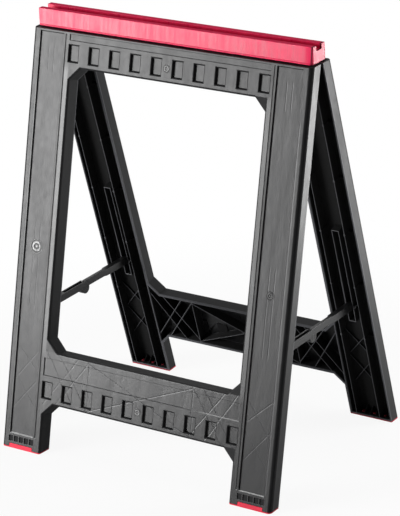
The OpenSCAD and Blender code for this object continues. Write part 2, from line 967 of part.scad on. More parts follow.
module top_beam() {
    color("#e5233f")
        difference() {
            intersection() {
                along_x(beam_len)
                    beam_section();
                translate([0, 0, beam_z0 - over])
                    linear_extrude(beam_h + 2 * over)
                        beam_plan();
            }
            difference() {
                along_x(beam_len - 2 * beam_corner_r)
                    beam_hollow();
                for (x = hinge_xs)
                    block([x - saddle_t / 2, -beam_low_w, beam_z0],
                          [x + saddle_t / 2, beam_low_w, beam_z1]);
            }
            translate([0, 0, hinge_z])
                rod_x(rod_d + 2 * seat_clear, rod_len);
        }
}

module hinge_rod() {
    color("silver")
        translate([0, 0, hinge_z])
            rod_x(rod_d, rod_len);
}

module rod_clips() {
    color("silver")
        for (side = [LEFT, RIGHT])
            translate([side * (clip_x + clip_t / 2), 0, hinge_z])
                difference() {
                    rod_x(clip_d, clip_t);
                    rod_x(rod_d + 2 * seat_clear, clip_t + 2 * over);
                }
}

top_beam();
hinge_rod();
rod_clips();
front_frame();
rear_frame();
front_left_foot();
front_right_foot();
rear_left_foot();
rear_right_foot();
front_left_pivot_pin();
front_right_pivot_pin();
rear_left_pivot_pin();
rear_right_pivot_pin();
front_left_stay();
front_right_stay();
rear_left_stay();
rear_right_stay();
left_knuckle_heads();
right_knuckle_heads();
left_knuckle_pin();
right_knuckle_pin();
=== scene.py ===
# %% [markdown]
# # A folding builders trestle
# Two charcoal leg frames hang from one hinge rod under a red beam, and two folding stays hold them apart.
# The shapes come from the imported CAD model, which stays where it is.
# This lesson gives every piece its finish, its softened edges and its small moulding marks, then lights it.

# %% Load the CAD model
import json
import math

import bmesh
import bpy
from mathutils import Matrix, Vector


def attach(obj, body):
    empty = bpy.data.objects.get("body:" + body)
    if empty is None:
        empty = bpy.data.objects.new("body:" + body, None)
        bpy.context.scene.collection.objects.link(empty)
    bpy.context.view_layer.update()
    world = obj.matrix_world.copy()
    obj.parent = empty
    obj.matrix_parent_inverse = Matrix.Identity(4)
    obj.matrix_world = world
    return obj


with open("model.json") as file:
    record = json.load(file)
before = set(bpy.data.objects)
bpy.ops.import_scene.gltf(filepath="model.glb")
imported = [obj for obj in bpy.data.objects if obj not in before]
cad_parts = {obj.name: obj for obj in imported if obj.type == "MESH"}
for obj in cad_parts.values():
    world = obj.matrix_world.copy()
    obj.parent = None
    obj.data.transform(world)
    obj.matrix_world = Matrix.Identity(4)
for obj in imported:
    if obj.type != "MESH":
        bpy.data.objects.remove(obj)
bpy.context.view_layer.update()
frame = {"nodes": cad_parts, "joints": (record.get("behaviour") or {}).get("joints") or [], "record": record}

MM = 0.001
nodes = frame["nodes"]

# %% [markdown]
# ## Each leg frame has a space of its own
# A leg frame leans, so a mark on its face is awkward to place in upright coordinates.
# We could turn every number by hand, but a matrix does it once: in a frame's own space x runs across
# the legs, y goes into the moulding from its face, and z is up along the legs, with the hinge rod at zero.
# The lean and the hinge come from the model's own joint, so they can't drift apart.

# %% Own space of the two leg frames
fold = next(j for j in frame["joints"] if j["name"] == "front_fold")
HINGE = Vector(fold["pos_m"])
LEAN = math.radians(max(fold["range_deg"]))
own_space = {"front_frame": Matrix.Translation(HINGE) @ Matrix.Rotation(-LEAN, 4, "X")}
own_space["rear_frame"] = Matrix.Rotation(math.pi, 4, "Z") @ own_space["front_frame"]

BELOW_HINGE_Z = -100 * MM
FACE_SLACK = 0.1 * MM
to_own = own_space["front_frame"].inverted()
own_points = [to_own @ v.co for v in nodes["front_frame"].data.vertices]
FACE_Y = min(p.y for p in own_points)
RIM_Y = max(p.y for p in own_points if p.z < BELOW_HINGE_Z)
HALF_W = max(p.x for p in own_points)
FACE_TOP_Z = max(p.z for p in own_points if p.y < FACE_Y + FACE_SLACK)
print("moulding depth in millimetres:", round((RIM_Y - FACE_Y) / MM, 1))

# %% [markdown]
# ## The camera
# The picture was taken from a little above the beam, to the right of the front frame, with a long lens.
# A camera can be aimed by eye, but here its place was worked out from the straight edges of the object,
# so it is given as a position and two directions.
# The frame is taller than it is wide, so the sensor size belongs to its height.

# %% Camera
IMAGE_H_PX = 516
FOCAL_PX = 2630.08
SENSOR_MM = 36.0
CAMERA_AT = Vector((2.4105, -3.3827, 1.9817))
CAMERA_RIGHT = Vector((0.8274, 0.5592, -0.0529))
CAMERA_FORWARD = Vector((-0.5362, 0.7584, -0.3705))

back = -CAMERA_FORWARD.normalized()
right = (CAMERA_RIGHT - CAMERA_RIGHT.dot(back) * back).normalized()
up = back.cross(right)
camera = bpy.data.objects.new("camera", bpy.data.cameras.new("camera"))
camera.data.sensor_width = SENSOR_MM
camera.data.lens = FOCAL_PX * SENSOR_MM / IMAGE_H_PX
camera.matrix_world = Matrix.Translation(CAMERA_AT) @ Matrix((right, up, back)).transposed().to_4x4()
bpy.context.scene.collection.objects.link(camera)
bpy.context.scene.camera = camera
print("lens in millimetres:", round(camera.data.lens, 1))

# %% [markdown]
# ## Shader maths as Python
# A node tree is a drawing of a formula, and drawing each Math node by hand hides the formula.
# We could click nodes together in the editor, but a small class that wraps a socket lets us write
# `1 - mask * 0.3` and have the Math nodes appear.
# Every other node comes from one method, which takes its type, its settings and what goes into its sockets.
# A Mix node keeps sockets for each kind of value, so those of its colours are named here by number.

# %% A socket that does sums
MIX_FIRST, MIX_SECOND, MIX_COLOUR = 6, 7, 2


class Wire:
    """An output socket in a node tree. Sums on it add Math nodes."""

    def __init__(self, tree, socket):
        self.tree = tree
        self.socket = socket

    def node(self, kind, settings=None, sockets=None, out=0):
        """A new node of this type, with its settings made first. Sockets are keyed by name or number."""
        made = self.tree.nodes.new(kind)
        for name, value in (settings or {}).items():
            setattr(made, name, value)
        for key, value in (sockets or {}).items():
            if isinstance(value, Wire):
                self.tree.links.new(value.socket, made.inputs[key])
            else:
                made.inputs[key].default_value = value
        return Wire(self.tree, made.outputs[out])

    def math(self, operation, *others):
        return self.node("ShaderNodeMath", {"operation": operation}, dict(enumerate((self, *others))))

    def __add__(self, other):
        return self.math("ADD", other)

    def __sub__(self, other):
        return self.math("SUBTRACT", other)

    def __mul__(self, other):
        return self.math("MULTIPLY", other)

    def __rsub__(self, other):
        return self.node("ShaderNodeMath", {"operation": "SUBTRACT"}, {0: other, 1: self})

    __radd__ = __add__
    __rmul__ = __mul__

    def smooth(self, low, high):
        """0 at low and 1 at high, with soft ends. Low may be the larger of the two."""
        sockets = {"Value": self, "From Min": low, "From Max": high}
        return self.node("ShaderNodeMapRange", {"interpolation_type": "SMOOTHSTEP"}, sockets)

    def mix(self, first, second):
        """The first colour where this is 0, and the second where it is 1."""
        sockets = {0: self, MIX_FIRST: first, MIX_SECOND: second}
        return self.node("ShaderNodeMix", {"data_type": "RGBA"}, sockets, out=MIX_COLOUR)


print("sums that become Math nodes: +, - and *")

# %% [markdown]
# ## A finish starts from the same few wires
# Every finish in this lesson is one Principled shader with a few of its sockets fed by formulas.
# Each could be set up from nothing, but the first lines would always be the same,
# so this helper makes the material, sets what is even all over it, and hands back its shader and coordinates.

# %% A new finish
def new_finish(name, **fixed):
    """A material with its Principled shader, and a wire with the object's coordinates."""
    material = bpy.data.materials.new(name)
    material.use_nodes = True
    shader = material.node_tree.nodes["Principled BSDF"]
    for socket, value in fixed.items():
        shader.inputs[socket.replace("_", " ")].default_value = value
    place = Wire(material.node_tree, None).node("ShaderNodeTexCoord", out="Object")
    return material, shader, place


def feed(shader, socket, wire):
    wire.tree.links.new(wire.socket, shader.inputs[socket])


def grey(level):
    return (level, level, level, 1.0)


def shaded(colour, share):
    """A colour made lighter or darker by a share of itself."""
    return (*(c * share for c in colour[:3]), 1.0)


def told(material):
    """Print the size of a finish's node tree, and hand the finish on."""
    print(material.name, "nodes:", len(material.node_tree.nodes))
    return material


print("materials before the first finish:", len(bpy.data.materials))

# %% [markdown]
# ## Unevenness from noise
# Moulded plastic is never quite even: its grain, flow and gloss vary over the surface.
# A picture could be wrapped round each piece, but noise in the object's own coordinates needs no unwrapping
# and stays with the piece when it moves. Stretching the coordinates first turns its clouds into streaks.

# %% Noise and bumps
TONE_STEP = (0.3, 0.7)


def noise(place, scale, detail=2.0, roughness=0.5):
    """Cloudy noise from 0 to 1, with so many clouds to a metre."""
    sockets = {"Vector": place, "Scale": scale, "Detail": detail, "Roughness": roughness}
    return place.node("ShaderNodeTexNoise", {"normalize": True}, sockets)


def streaks(place, per_metre, detail=3.0):
    """Noise with its own number of clouds to a metre along x, y and z."""
    stretched = place.node("ShaderNodeVectorMath", {"operation": "MULTIPLY"}, {0: place, 1: per_metre})
    return noise(stretched, 1.0, detail=detail)


def blended(first, second, share):
    """Two noises in one, of which the first has this share."""
    return first * share + second * (1 - share)


def varied(tone, colour, dark, pale):
    """A colour that goes with a tone from a dark share of itself to a pale one."""
    return tone.mix(shaded(colour, dark), shaded(colour, pale))


def bump(height, unit):
    """A surface normal from a height wire, whose 1 stands for this length in metres."""
    return height.node("ShaderNodeBump", None, {"Height": height, "Distance": unit, "Strength": 1.0})


print("noise is brought to a tone from 0 to 1 between", TONE_STEP)

# %% [markdown]
# ## A finish that knows its place on a leaning frame
# Sink lines, dull pocket walls and dust sit at fixed places on a leg frame.
# Each place could have a material slot, but that would cut up the CAD mesh, which must stay as it is.
# So the shader turns its coordinates into the frame's own space, and asks how far out from the middle,
# how deep behind the face and how far down from the top edge a point is.

# %% Own axes of a leg frame
def mm(*lengths):
    """Millimetres as metres."""
    return tuple(length * MM for length in lengths)


LEG_X, LEG_MID_X, POST_X = mm(195.5, 237.4, 106.9)
TOP_BAR_H, LOW_BAR_TOP, LOW_BAR_H = mm(59.6, 548.1, 92.5)


def axis(vector, name):
    """One part of a vector: X, Y or Z."""
    return vector.node("ShaderNodeSeparateXYZ", None, {0: vector}, out=name)


def turned(place, about, angle, centre=(0.0, 0.0, 0.0)):
    """The coordinates turned about an axis through a point."""
    sockets = {"Vector": place, "Center": centre, "Angle": angle}
    return place.node("ShaderNodeVectorRotate", {"rotation_type": about}, sockets)


def own_axes(place, frame_name):
    """Wires in a leg frame's own space: x, the depth from its face, and the way down from its top edge."""
    if frame_name == "rear_frame":
        place = turned(place, "Z_AXIS", math.pi)
    own = turned(place, "X_AXIS", LEAN, HINGE)
    return axis(own, "X"), axis(own, "Y") - FACE_Y, HINGE.z + FACE_TOP_Z - axis(own, "Z")


print("lower bar in millimetres from the top edge:", LOW_BAR_TOP / MM, "to", (LOW_BAR_TOP + LOW_BAR_H) / MM)

# %% [markdown]
# ## Sink lines
# Ribs behind a wall pull the face in a little as the plastic cools, and leave faint lines on the front.
# We could model these hollows, but they are about a tenth of a millimetre deep,
# so a bump along the lines of the ribs shows them in the gloss, and a paler colour along them is a painted
# sheen.
# One more line, broader than the rest, runs down each leg just outside its panel.

# %% Places of the sink lines
PANEL_RIB_OFFSETS = mm(-5, 6)
PANEL_RIB_RUNS = mm(26, 74), mm(330, 480)
CROSS_ENDS_X = mm(216, 263)
CROSS_RUNS = mm(588, 546), mm(553, 611), mm(652, 597), mm(606, 662)
LATTICE_SHARES = (
    ((1.03, -0.04), (0.27, 1.06)),
    ((0.78, -0.06), (0.0, 0.92)),
    ((0.18, -0.06), (1.03, 1.03)),
    ((0.0, 0.05), (0.79, 1.06)),
    ((0.0, 0.0), (0.0, 1.0)),
)
FAN_START_SHARE = 0.52
FAN_END_SHARES = (0.07, 0.97)


def bar_point(out, down):
    """A place on the lower bar: shares of the way from its post to the leg, and of its height."""
    return POST_X + out * (LEG_X - POST_X), LOW_BAR_TOP + down * LOW_BAR_H


def sink_lines():
    """Ends of the sink lines on the right half of a face: behind the ribs of a leg and of the lower bar."""
    lines = []
    for offset in PANEL_RIB_OFFSETS:
        for start, end in PANEL_RIB_RUNS:
            lines.append(((LEG_MID_X + offset, start), (LEG_MID_X + offset, end)))
    for inner, outer in CROSS_RUNS:
        lines.append(((CROSS_ENDS_X[0], inner), (CROSS_ENDS_X[1], outer)))
    for start, end in LATTICE_SHARES:
        lines.append((bar_point(*start), bar_point(*end)))
    for share in FAN_END_SHARES:
        lines.append(((0.0, LOW_BAR_TOP + FAN_START_SHARE * LOW_BAR_H), bar_point(0.0, share)))
    return lines


print("sink lines on each half of a frame:", len(sink_lines()))

# %% [markdown]
# ## From lines to a mask
# A line on a flat face needs no texture: the distance from it and the way along it are two short sums.
# The mask is 1 on the line and fades to both sides, and it stops at the back of the skin,
# so the ribs behind stay clear of it.

# %% Sink line mask
SINK_W, SIDE_SINK_W, SIDE_SINK_X = mm(2.8, 5, 264)
SIDE_SINK_RUN = mm(90, 700)
SKIN_BACK = mm(4.9, 4.6)


def along_line(x, down, start, end, width):
    """1 on the line between two points of the face, falling to 0 at half its width to either side."""
    run = Vector(end) - Vector(start)
    way = run.normalized()
    across = (x - start[0]) * -way.y + (down - start[1]) * way.x
    along = (x - start[0]) * way.x + (down - start[1]) * way.y
    beside = across.math("ABSOLUTE").smooth(width / 2, 0.0)
    return beside * along.smooth(-width, width) * along.smooth(run.length + width, run.length - width)


def sunk_mask(across, depth, down):
    """1 along the sink lines of the outer skin."""
    side_start, side_end = ((SIDE_SINK_X, end) for end in SIDE_SINK_RUN)
    sunk = along_line(across, down, side_start, side_end, SIDE_SINK_W)
    for start, end in sink_lines():
        sunk = sunk.math("MAXIMUM", along_line(across, down, start, end, SINK_W))
    return sunk * depth.smooth(*SKIN_BACK)


print("width of a sink line in millimetres:", SINK_W / MM)

# %% [markdown]
# ## Behind the face
# The back of a leg frame is a tray of thin walls and ribs. Little light gets into it, so its walls and floors
# are made dull, and their colour is painted darker as shade, nearly black, while its rim and the tops of the
# crossed ribs are painted pale as a highlight.
# They could be told apart by hand, face by face, but depth behind the face does it everywhere at once.

# %% Inside walls in painted shade, tops with a painted highlight
WALL, WALL_SOFT, INSIDE_SOFT, CROSS_SOFT = mm(2.1, 0.3, 0.2, 0.1)
INSIDE_DEPTH = mm(4.7, 22.6)
RIM_DEPTH = mm(22.6, 22.9)
CROSS_TOP_DEPTH = mm(8.7, 9.3)
CROSS_START = mm(500, 510)
CROSS_HIGHLIGHT = 0.8
NEARLY_FLAT = (0.8, 0.9)


def between(value, low, high, soft):
    """1 from low to high, and 0 beyond them, with soft ends of this width outside."""
    return value.smooth(low - soft, low) * value.smooth(high + soft, high)


def facing(place, name):
    """How far a surface faces along X, Y or Z, from -1 to 1."""
    return axis(place.node("ShaderNodeNewGeometry", out="Normal"), name)


def inside_mask(across, depth, down):
    """1 on the walls and floors behind the face, and 0 on the outside and on the rim."""
    leg = between(across, LEG_X + WALL, HALF_W - WALL, WALL_SOFT)
    top = between(down, WALL, TOP_BAR_H - WALL, WALL_SOFT)
    low = between(down, LOW_BAR_TOP + WALL, LOW_BAR_TOP + LOW_BAR_H - WALL, WALL_SOFT)
    bars = (top + low) * across.smooth(LEG_X + WALL, LEG_X)
    return leg.math("MAXIMUM", bars) * between(depth, *INSIDE_DEPTH, INSIDE_SOFT)


# Where this mask is 1 the frame gets a pale painted highlight.
def rim_highlight_mask(place, depth, down):
    """1 on the rim, and nearly 1 on the tops of the crossed ribs low in the legs."""
    flat = facing(place, "Y").math("ABSOLUTE").smooth(*NEARLY_FLAT)
    cross_tops = between(depth, *CROSS_TOP_DEPTH, CROSS_SOFT) * flat * down.smooth(*CROSS_START)
    return depth.smooth(*RIM_DEPTH).math("MAXIMUM", cross_tops * CROSS_HIGHLIGHT)


print("walls inside start this far behind the face, in millimetres:", INSIDE_DEPTH[0] / MM)

# %% [markdown]
# ## Dull edges
# The narrow walls round panels, pockets and pits look black, though the face beside them shines grey.
# Darker paint would hardly help, because nearly black plastic gets its brightness from its gloss.
# So these walls are made rough instead, where they face right or down, away from the lamp.
# Pockets are dull all over, pits nearly so, and so are the outer corners of the legs.

# %% Dull edges
FACE_SKIN = mm(0.03, 0.08)
POCKET_ROWS = mm(20, 51), mm(601, 633)
POCKET_END_X = mm(209, 207)
POCKET_DEPTH = mm(0.08, 4.1)
PIT_ROW = mm(708, 721)
PIT_DULL = 0.85
LEG_FACE_X = mm(204, 206)
BAR_LIP, LEG_LIP_MORE, LIP_SOFT, POCKET_SOFT = mm(1.4, 0.85, 0.1, 0.05)
AWAY_FROM_LAMP = (-0.25, 0.05)
CORNER_X = mm(267, 270)
CORNER_DEPTH = mm(0.2, 6.6)
CORNER_SOFT, RIGHT_CORNER_DEEPER = mm(0.15, 0.4)


def pocket_rows(across, down):
    """1 over the rows of pockets in the two bars."""
    upper, lower = (between(down, *row, MM) for row in POCKET_ROWS)
    return (upper + lower) * across.smooth(*POCKET_END_X)


def edge_mask(place, x, depth, down, rows):
    """1 on the dull walls just behind the face, in the pockets and along the outer corners."""
    across = x.math("ABSOLUTE")
    lip = BAR_LIP + across.smooth(*LEG_FACE_X) * LEG_LIP_MORE
    narrow = depth.smooth(*FACE_SKIN) * (lip - depth).smooth(0.0, LIP_SOFT)
    away = (facing(place, "X") - facing(place, "Z")).smooth(*AWAY_FROM_LAMP)
    pits = between(down, *PIT_ROW, MM) * PIT_DULL
    pockets = rows * between(depth, *POCKET_DEPTH, POCKET_SOFT)
    from_corner = depth - x.smooth(-MM, MM) * RIGHT_CORNER_DEEPER
    corners = across.smooth(*CORNER_X) * between(from_corner, *CORNER_DEPTH, CORNER_SOFT)
    return (narrow * away.math("MAXIMUM", pits)).math("MAXIMUM", pockets).math("MAXIMUM", corners)


print("pocket rows start this far down, in millimetres:", [round(start / MM) for start, end in POCKET_ROWS])

# %% [markdown]
# ## The window's walls
# The inner walls of the legs, beside the open window, are nearly as dull as the other edges.
# On the right leg the dullness comes round on to the face, as a fine dark outline along the window.
# A dark strip of mesh could draw it, but it has no thickness on the real frame, so it stays in the finish.

# %% Window walls
OUTLINE_X = LEG_X + 4.2 * MM, LEG_X + 3.4 * MM
WINDOW_WALL_X = LEG_X + 5 * MM, LEG_X + 4 * MM
WINDOW_TOP = mm(56.5, 57.5)
BAR_BESIDE_WINDOW = mm(549, 637)


def window_mask(x, depth, down):
    """1 on the walls of the legs beside the window, and on the outline of the right one."""
    across = x.math("ABSOLUTE")
    outline = x.smooth(0.0, MM) * across.smooth(*OUTLINE_X)
    walls = across.smooth(*WINDOW_WALL_X) * depth.smooth(*FACE_SKIN).math("MAXIMUM", outline)
    return walls * down.smooth(*WINDOW_TOP) * (1 - between(down, *BAR_BESIDE_WINDOW, MM))


print("outline along the window ends at, in millimetres:", round(OUTLINE_X[0] / MM, 1))

# %% [markdown]
# ## Painted highlights, scuffs and smooth strips
# A pale painted highlight lies on ledges that face up: at the foot of each panel, and on the right of the
# lower bar.
# The front frame's right panel is scuffed dull at its foot, and the rear frame's outer sides near their top.
# The strips of face beside the window are smoother than the rest, so a thin clear coat brightens them.
# Marks like these could be painted by hand. Here each place is a few spans, which are easy to read and
# change.

# %% Painted ledge highlights, scuffs and smooth strips
FACING_UP = (0.3, 0.6)
LEDGE_DEPTH = mm(0.1, 2.2)
LEDGE_SOFT = 0.05 * MM
PANEL_FOOT, BAR_LEDGE = mm(690, 708), mm(590, 600)
BAR_DUST_X = mm(80, 150)
SCUFF_X, SCUFF_DEPTH, SCUFF_RUN = mm(214, 261), mm(2.2, 2.3), mm(560, 640)
SIDE_RUB_X = HALF_W - 2 * MM, HALF_W - MM
SIDE_RUB_RUN = mm(520, 250)
SCUFF_ROUGH, SIDE_RUB_ROUGH = 0.08, 0.14
STRIP_X = LEG_X + 4 * MM, LEG_X + 12 * MM
STRIP_RUN = mm(70, 540)
STRIP_FADE = 20 * MM


def ledge_highlight_mask(place, x, depth, down, rows):
    """1 on the ledges that face up, which get a painted highlight."""
    ledge = facing(place, "Z").smooth(*FACING_UP) * between(depth, *LEDGE_DEPTH, LEDGE_SOFT) * (1 - rows)
    on_bar = between(down, *BAR_LEDGE, MM) * x.smooth(*BAR_DUST_X)
    return ledge * (between(down, *PANEL_FOOT, MM) + on_bar)


def worn_roughness(frame_name, x, depth, down):
    """Extra roughness: the rear frame's rubbed sides, or the front frame's scuffed panel."""
    if frame_name == "rear_frame":
        side = x.math("ABSOLUTE").smooth(*SIDE_RUB_X)
        return side * down.smooth(*SIDE_RUB_RUN) * SIDE_RUB_ROUGH
    panel = between(x, *SCUFF_X, MM) * depth.smooth(*SCUFF_DEPTH)
    return panel * down.smooth(*SCUFF_RUN) * SCUFF_ROUGH


def strip_mask(across, depth, down):
    """1 on the smooth strips of face beside the window."""
    on_face = depth.smooth(*reversed(FACE_SKIN))
    return between(across, *STRIP_X, MM) * on_face * between(down, *STRIP_RUN, STRIP_FADE)


print("smooth strip width in millimetres:", round((STRIP_X[1] - STRIP_X[0]) / MM))

# %% [markdown]
# ## Charcoal frame plastic
# The leg frames are filled polypropylene, nearly black, with a satin spark-eroded skin.
# One even black would look like a drawing, so the masks above and three noises of different size meet here:
# flow lines along the legs, clouds about a finger wide, and the fine grain of the mould.
# They touch the colour a little, and the gloss and the surface normal more, as on real plastic.

# %% Charcoal frame plastic
CHARCOAL = (0.0065, 0.0066, 0.0072, 1.0)
# The inside colour is painted shade, the sink line colour a painted sheen, and the rim colour a painted
# highlight.
INSIDE_SHADE_SKIN, SINK_SHEEN_SKIN, RIM_HIGHLIGHT_SKIN = (shaded(CHARCOAL, share) for share in (0.35, 2.0, 9.0))
# A pale painted highlight for the ledges that face up.
LEDGE_HIGHLIGHT = grey(0.55)
FLOW_PER_M = (45.0, 45.0, 3.0)
CLOUDS_PER_M, GRAIN_PER_M = 90.0, 2200.0
FLOW_MM, CLOUD_MM, GRAIN_MM, SINK_MM = 0.45, 0.11, 0.007, 0.11
SATIN, TONE_ROUGH, GRAIN_ROUGH, SINK_ROUGH, LOW_BAR_ROUGH = 0.32, 0.07, 0.04, -0.05, -0.07
DULL_ROUGH, WINDOW_DULL = 0.95, 0.8
STRIP_COAT = 0.32
LOW_BAR_START, LOW_BAR_END_X = mm(547, 550), mm(215, 195)


def charcoal_plastic(frame_name):
    name = f"charcoal_{frame_name}"
    material, shader, place = new_finish(name, Specular_IOR_Level=0.3, Coat_Roughness=0.32)
    x, depth, down = own_axes(place, frame_name)
    across = x.math("ABSOLUTE")
    flow = streaks(place, FLOW_PER_M)
    cloud = noise(place, CLOUDS_PER_M, detail=4.0)
    grain = noise(place, GRAIN_PER_M)
    tone = blended(flow, cloud, share=0.5).smooth(*TONE_STEP)

    rows = pocket_rows(across, down)
    # Along the sink lines the colour is painted paler as a sheen, besides the bump and the gloss.
    sunk = sunk_mask(across, depth, down)
    inside = inside_mask(across, depth, down)
    # Behind the face the colour is painted darker as shade.
    skin = inside.mix(varied(tone, CHARCOAL, dark=0.8, pale=1.25), INSIDE_SHADE_SKIN)
    # The rim and the crossed rib tops get a pale painted highlight, and the sink lines a paler painted sheen.
    skin = rim_highlight_mask(place, depth, down).mix(sunk.mix(skin, SINK_SHEEN_SKIN), RIM_HIGHLIGHT_SKIN)
    # Ledges that face up get a pale painted highlight.
    feed(shader, "Base Color", ledge_highlight_mask(place, x, depth, down, rows).mix(skin, LEDGE_HIGHLIGHT))

    low_bar = down.smooth(*LOW_BAR_START) * across.smooth(*LOW_BAR_END_X)
    rough = SATIN + tone * TONE_ROUGH + grain * GRAIN_ROUGH + sunk * SINK_ROUGH + low_bar * LOW_BAR_ROUGH
    rough = rough + worn_roughness(frame_name, x, depth, down)
    dull = edge_mask(place, x, depth, down, rows).math("MAXIMUM", inside)
    dull = dull.math("MAXIMUM", window_mask(x, depth, down) * WINDOW_DULL)
    feed(shader, "Roughness", rough.math("MAXIMUM", dull * DULL_ROUGH))
    feed(shader, "Coat Weight", strip_mask(across, depth, down) * STRIP_COAT)

    height_mm = grain * GRAIN_MM + cloud * CLOUD_MM + flow * FLOW_MM - sunk * SINK_MM
    feed(shader, "Normal", bump(height_mm, MM))
    return material


frame_finish = {name: told(charcoal_plastic(name)) for name in own_space}

# %% [markdown]
# ## Red beam plastic
# The beam is a glossier red moulding. Its sides carry faint upright drag marks from leaving the mould.
# A stretched noise gives them: long in z, fine in x. They touch the colour a little and the gloss more,
# because a drag mark is a change of surface and not of paint.
# Boards have worn its top and its right end dull, and the corner round its end face lies in shade.
# A larger radius could be cut into the corner, but a dark line of painted shade in the finish keeps the end
# face crisp.

# %% Red beam plastic
BEAM_RED = (0.7, 0.008, 0.075, 1.0)
CORNER_SHADE_RED = shaded(BEAM_RED, 0.2)
DRAG_PER_M, BEAM_CLOUDS_PER_M = (260.0, 60.0, 9.0), 35.0
BEAM_ROUGH, BEAM_TONE_ROUGH, WORN_ROUGH = 0.25, 0.18, 0.45
BEAM_CORNER_X, BEAM_WORN_X = mm(270, 274), mm(250, 272)
END_FACE, TOP_FACE = (0.8, 0.5), (0.6, 0.9)
DRAG_DEPTH = 0.05 * MM


def beam_plastic():
    material, shader, place = new_finish("red_beam", Specular_IOR_Level=0.27)
    drag = streaks(place, DRAG_PER_M)
    cloud = noise(place, BEAM_CLOUDS_PER_M, detail=3.0)
    tone = blended(drag, cloud, share=0.6).smooth(*TONE_STEP)
    skin = varied(tone, BEAM_RED, dark=0.88, pale=1.1)
    x = axis(place, "X")
    not_end = facing(place, "X").smooth(*END_FACE)
    # The corner beside the end face is painted dark as shade.
    corner = between(x, *BEAM_CORNER_X, MM) * not_end
    feed(shader, "Base Color", corner.mix(skin, CORNER_SHADE_RED))
    worn = facing(place, "Z").smooth(*TOP_FACE).math("MAXIMUM", x.smooth(*BEAM_WORN_X))
    feed(shader, "Roughness", BEAM_ROUGH + tone * BEAM_TONE_ROUGH + worn * not_end * WORN_ROUGH)
    feed(shader, "Normal", bump(blended(drag, cloud, share=0.7), DRAG_DEPTH))
    return material


slot_finish = {"beam_plastic": told(beam_plastic())}

# %% [markdown]
# ## Red foot rubber
# The feet are a softer red plastic, duller than the beam, with a fine grain that keeps them from sliding.
# They could share the beam's finish, but the duller skin is what tells the two apart.
# Only their tabs at the front and back keep their plain red: a painted shade darkens the rest, and most of
# all above the sole.

# %% Red foot rubber
FOOT_RED = (0.72, 0.006, 0.042, 1.0)
FOOT_SHADE_RED = shaded(FOOT_RED, 0.12)
FOOT_GRAIN_PER_M, FOOT_CLOUDS_PER_M = 1500.0, 60.0
FOOT_ROUGH, FOOT_GRAIN_ROUGH = 0.5, 0.12
TAB_Y, SOLE_TOP = mm(205, 202), mm(3.4, 3.8)
SOLE_SHADE, SHADE_ABOVE = 0.5, 0.4
FOOT_GRAIN_DEPTH = 0.05 * MM


def foot_rubber():
    material, shader, place = new_finish("red_foot", Specular_IOR_Level=0.3)
    grain = noise(place, FOOT_GRAIN_PER_M)
    cloud = noise(place, FOOT_CLOUDS_PER_M, detail=3.0)
    skin = varied(cloud.smooth(*TONE_STEP), FOOT_RED, dark=0.86, pale=1.08)
    behind_tab = axis(place, "Y").math("ABSOLUTE").smooth(*TAB_Y)
    # Behind its tabs the foot is painted darker as shade.
    foot_shade = behind_tab * (SOLE_SHADE + SHADE_ABOVE * axis(place, "Z").smooth(*SOLE_TOP))
    feed(shader, "Base Color", foot_shade.mix(skin, FOOT_SHADE_RED))
    feed(shader, "Roughness", FOOT_ROUGH + grain * FOOT_GRAIN_ROUGH)
    feed(shader, "Normal", bump(grain, FOOT_GRAIN_DEPTH))
    return material


slot_finish["foot_rubber"] = told(foot_rubber())

# %% [markdown]
# ## Stay plastic
# The stays are a harder black plastic with a plain satin skin, rubbed a little where the links pass.
# They could take the frames' finish, but they have no sink lines or ledges, so a short one of their own
# will do: streaks along the links for the rubbing, and a fine grain.

# %% Stay plastic
STAY_BLACK = (0.010, 0.0101, 0.0106, 1.0)
RUB_PER_M, STAY_GRAIN_PER_M = (300.0, 12.0, 120.0), 1800.0
RUB_STEP = (0.35, 0.75)
STAY_ROUGH, STAY_GRAIN_ROUGH, RUB_ROUGH = 0.36, 0.08, -0.05
RUB_DEPTH = 0.04 * MM


def stay_plastic():
    material, shader, place = new_finish("black_stay", Specular_IOR_Level=0.3)
    grain = noise(place, STAY_GRAIN_PER_M)
    rub = streaks(place, RUB_PER_M)
    tone = rub.smooth(*RUB_STEP)
    feed(shader, "Base Color", varied(tone, STAY_BLACK, dark=0.9, pale=1.5))
    feed(shader, "Roughness", STAY_ROUGH + grain * STAY_GRAIN_ROUGH + tone * RUB_ROUGH)
    feed(shader, "Normal", bump(blended(grain, rub, share=0.5), RUB_DEPTH))
    return material


slot_finish["stay_plastic"] = told(stay_plastic())

# %% [markdown]
# ## Pin steel
# The rod, its clips and the pivot pins are zinc plated steel, bright but not mirror smooth.
# Fine rings from the lathe could be cut into each pin, but noise that is dense along x and sparse across it
# gives every pin its rings at once, because all of them lie along x.

# %% Pin steel
ZINC = (0.58, 0.58, 0.6, 1.0)
RINGS_PER_M, ZINC_CLOUDS_PER_M = (4000.0, 150.0, 150.0), 250.0
ZINC_ROUGH, RING_ROUGH = 0.26, 0.14
RING_DEPTH = 0.01 * MM


def pin_steel():
    material, shader, place = new_finish("zinc_pin", Metallic=1.0)
    rings = streaks(place, RINGS_PER_M, detail=2.0)
    cloud = noise(place, ZINC_CLOUDS_PER_M, detail=3.0)
    feed(shader, "Base Color", varied(cloud.smooth(*TONE_STEP), ZINC, dark=0.85, pale=1.1))
    feed(shader, "Roughness", ZINC_ROUGH + rings * RING_ROUGH)
    feed(shader, "Normal", bump(rings, RING_DEPTH))
    return material


slot_finish["pin_steel"] = told(pin_steel())

# %% [markdown]
# ## Dress the CAD nodes
# Every node already names its material slot in the record, so the finishes are handed out by slot.
# Real mouldings have no knife edges: a small bevel on each hard edge catches the light.
# The imported mesh is split along its hard edges and cut into triangles, so the stack first joins the points,
# then merges flat faces, then bevels, and at the end weighs the normals by face size so that flats stay flat.

